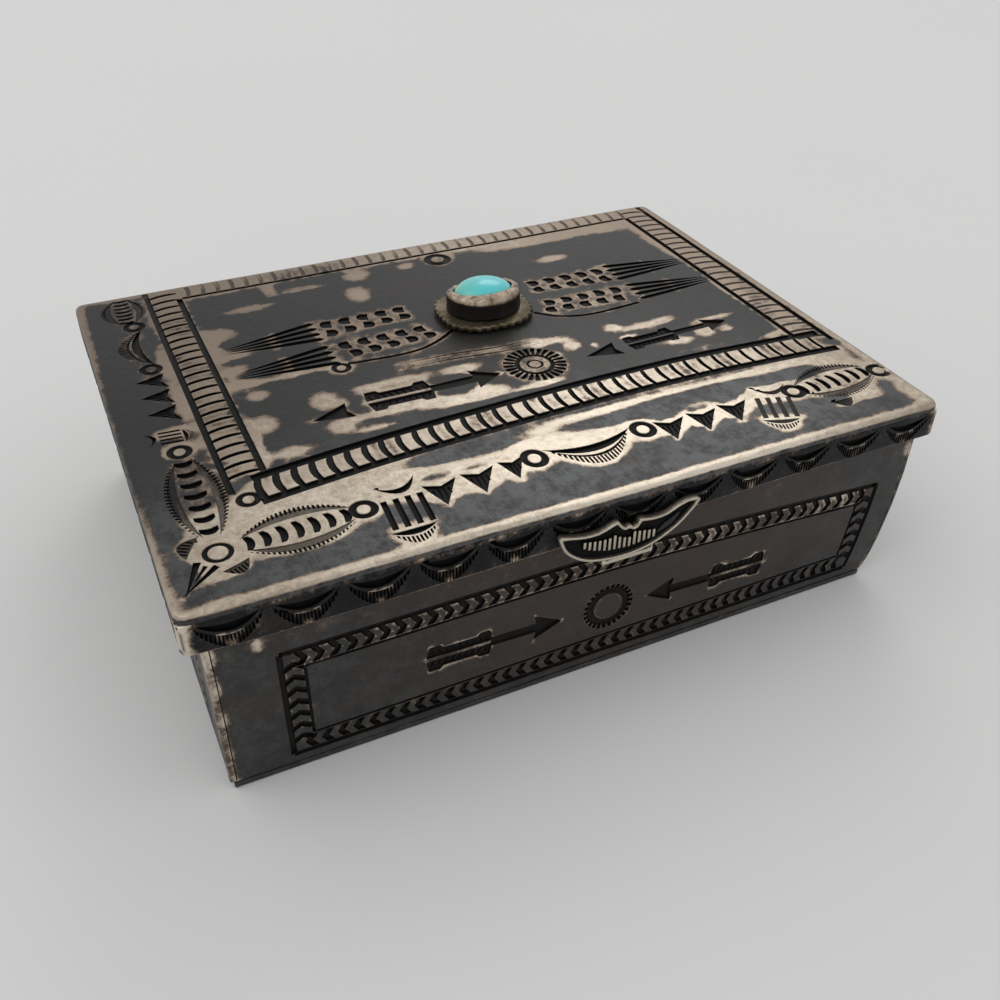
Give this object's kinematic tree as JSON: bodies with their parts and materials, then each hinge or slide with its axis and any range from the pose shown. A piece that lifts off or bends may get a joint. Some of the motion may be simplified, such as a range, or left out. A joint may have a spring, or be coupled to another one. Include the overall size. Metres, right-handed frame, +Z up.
{
  "type": "trinket box",
  "caption": "Low rectangular box of stamped, darkened silver sheet with a back-hinged lid, a crescent thumb piece and an oval turquoise stone set on the lid.",
  "frame": {"origin": "centre of the lid's outline, projected down to the underside of the bottom plate", "axes": "+X to the right along the front, +Y towards the hinge at the back, +Z up out of the lid"},
  "size_m": [0.1016, 0.0776, 0.0352],
  "materials": {
    "stamped_lid_silver": "blackened silver, polished on the high edges round the stamps",
    "dark_wall_silver": "darkened satin silver with worn edges",
    "worn_silver": "darkened silver, worn bright on its edges",
    "bright_silver": "hand-polished warm silver",
    "bezel_silver": "black oxidised silver with a bright rolled lip",
    "turquoise": "polished turquoise stone, a little greener at one end"
  },
  "bodies": {
    "base": {"bottom_plate": "dark_wall_silver", "front_wall": "dark_wall_silver", "back_wall": "dark_wall_silver", "left_wall": "dark_wall_silver", "right_wall": "dark_wall_silver", "hinge_bearer": "dark_wall_silver", "base_knuckle_1": "worn_silver", "base_knuckle_2": "worn_silver", "base_knuckle_3": "worn_silver", "hinge_pin": "bright_silver"},
    "lid": {"lid_plate": "stamped_lid_silver", "front_skirt": "worn_silver", "back_skirt": "worn_silver", "left_skirt": "worn_silver", "right_skirt": "worn_silver", "lid_knuckle_1": "worn_silver", "lid_knuckle_2": "worn_silver", "thumb_piece": "bright_silver", "thumb_tongue": "worn_silver", "bezel_plate": "worn_silver", "bezel_cup": "bezel_silver", "turquoise_stone": "turquoise"}
  },
  "joints": [
    {"name": "lid_hinge", "type": "hinge", "parent": "base", "child": "lid", "pos_m": [0, 0.03725, 0.0234], "axis": [-1, 0, 0], "range_deg": [0, 110]}
  ]
}
